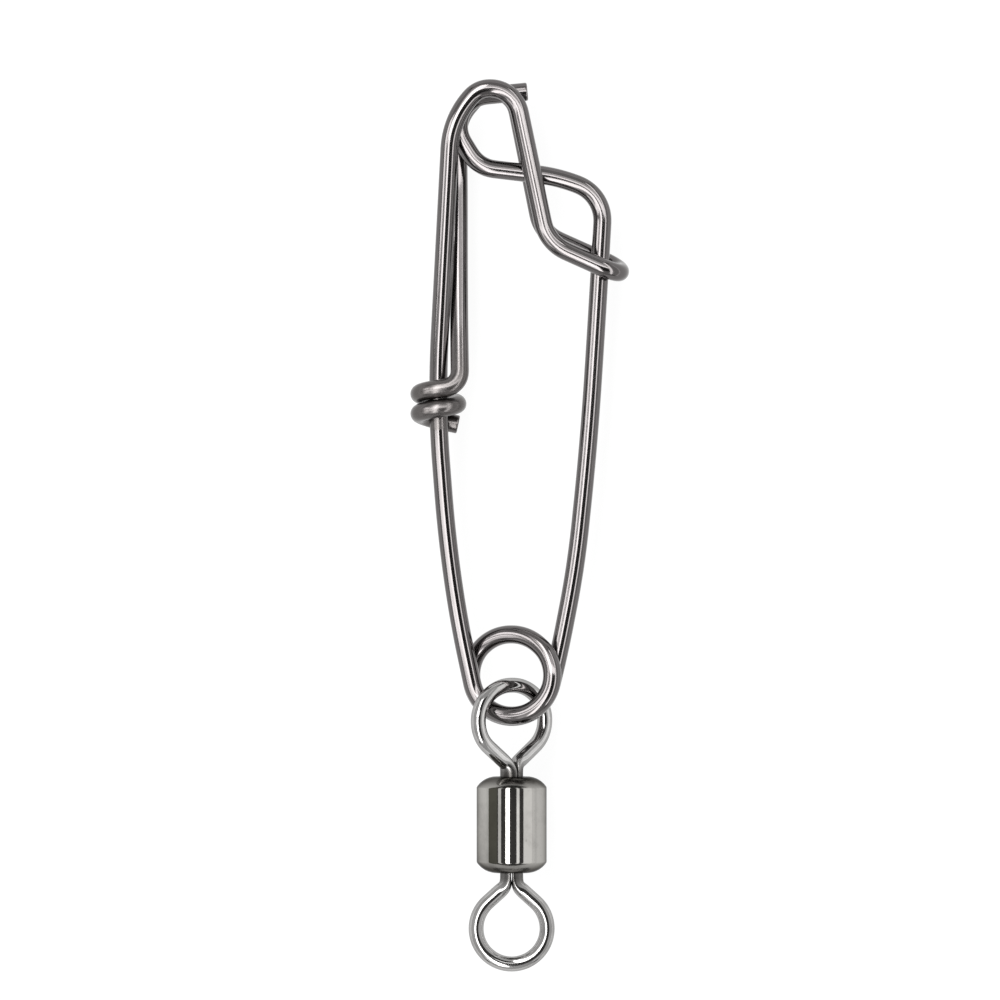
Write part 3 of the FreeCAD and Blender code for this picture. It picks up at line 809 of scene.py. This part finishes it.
# %% [markdown]
# ## The lamps
#
# A polished wire shows the studio and nothing else. Across a round wire the whole room is squeezed into
# one narrow band, so every long lamp becomes one thin line: a point whose normal leans by t from
# straight up shows what lies at 2t. So the lamps are long strips and cards, each given by the two
# angles between which it is seen, and the dark room between them draws the dark lines. A picture of
# tackle is put together from several exposures, each with cards set for one piece, and light linking
# does the same here: a lamp with receivers lights only those. Only the key strip lights the card.

# %% Lamps
LAMP_DISTANCE = 1.0


def only_for(name, *pieces):
    """A collection of the pieces that a lamp may light."""
    receivers = bpy.data.collections.new(name)
    for piece in pieces:
        receivers.objects.link(piece)
    return receivers


def lamp(name, across, along, radiance, receivers=None, tint=(1.0, 1.0, 1.0)):
    """A flat lamp that looks at the clip, seen between two angles from straight up towards +X (across)
    and +Y (along), in degrees. Its power is radiance times pi times its area."""
    tangents = [math.tan(math.radians(sum(pair) / 2)) for pair in (across, along)]
    facing = Vector((*tangents, 1)).normalized()
    sideways = Vector((0, 1, 0)).cross(facing).normalized()
    size = [2 * LAMP_DISTANCE * math.tan(math.radians(pair[1] - pair[0]) / 2) for pair in (across, along)]
    light = bpy.data.lights.new(name, "AREA")
    light.shape = "RECTANGLE"
    light.size, light.size_y = size
    light.energy = radiance * math.pi * size[0] * size[1]
    light.color = tint
    shown = bpy.data.objects.new(name, light)
    shown.location = LAMP_DISTANCE * facing
    shown.rotation_euler = Matrix((sideways, facing.cross(sideways), facing)).transposed().to_euler()
    shown.visible_camera = False
    if receivers:
        shown.light_linking.receiver_collection = receivers
    bpy.context.scene.collection.objects.link(shown)


WHOLE = (-50, 50)             # along the whole clip
wires = only_for("wires", snap, upper, lower)
wires_and_card = only_for("wires and card", snap, upper, lower, card)
clip = only_for("clip", snap)
eyes = only_for("eyes", upper, lower)
linked_eye = only_for("linked eye", upper)
shell = only_for("shell", barrel)

# the bright line down every wire, and the softer light on its left
lamp("key strip", (-21, -4), WHOLE, 8.0, wires_and_card)
lamp("key glow", (-36, -21), WHOLE, 1.5, clip)
lamp("eye glow", (-36, -21), WHOLE, 0.75, eyes)
# the same for the wires that run across: the coil, the arch and the eyes
lamp("cross strip", (-35, 35), (8, 20), 6.5, clip)
lamp("cross glow", (-30, 30), (20, 40), 2.4, clip)
lamp("eye cross strip", (-30, 10), (8, 17), 2.2, eyes)
# the upper eye is turned, and looks to the right
lamp("linked eye light", (56, 84), (-40, 40), 0.8, linked_eye)
# cards low down on all four sides, which make the pale edges
lamp("left card", (-88, -36), WHOLE, 0.66, wires)
lamp("right card", (34, 88), WHOLE, 0.72, wires)
lamp("head card", (-30, 30), (42, 88), 0.68, wires)
lamp("foot card", (-30, 30), (-88, -34), 0.55, wires)
# thin second lines on parts of the clip
lamp("clip line", (38, 50), WHOLE, 4.5, clip)
lamp("lower leg line", (-55, -21), (-15, -4), 5.0, clip)
lamp("coil upper line", (-62, -42), (12, 32), 5.5, clip)
lamp("coil lower line", (-62, -42), (-48, -22), 3.0, clip)
# the upright bands of the barrel
lamp("shell key", (-19.5, -7), WHOLE, 6.0, shell)
lamp("shell left line", (-45, -35), WHOLE, 1.0, shell)
lamp("shell right line", (16, 25.4), WHOLE, 1.5, shell)
lamp("shell right wall", (39, 70), WHOLE, 1.25, shell)
lamp("shell right fade", (70, 81.5), WHOLE, 1.0, shell)
lamp("shell left shade", (-83, -49), WHOLE, 0.09, shell, (1.0, 1.0, 0.75))

ROOM_COLOUR = (0.075, 0.074, 0.073, 1)
world = bpy.data.worlds.new("dark room")
bpy.context.scene.world = world
world.use_nodes = True
world.node_tree.nodes["Background"].inputs["Color"].default_value = ROOM_COLOUR
print(len(bpy.data.lights), "lamps")

# %% [markdown]
# ## The camera
#
# The photograph looks straight down on the clip, from far enough that nothing leans.

# %% Camera
VIEW_CENTRE = (-3.572 * MM, 4.605 * MM)
VIEW_WIDTH = 180 * MM
CAMERA_HEIGHT = 1.5
camera = bpy.data.cameras.new("camera")
camera.angle = 2 * math.atan(VIEW_WIDTH / 2 / (CAMERA_HEIGHT - AXIS_Z * MM))
eye_point = bpy.data.objects.new("camera", camera)
eye_point.location = (*VIEW_CENTRE, CAMERA_HEIGHT)
bpy.context.scene.collection.objects.link(eye_point)
bpy.context.scene.camera = eye_point
bpy.context.scene.view_settings.view_transform = "Standard"
print("field of view", round(math.degrees(camera.angle), 2), "degrees")
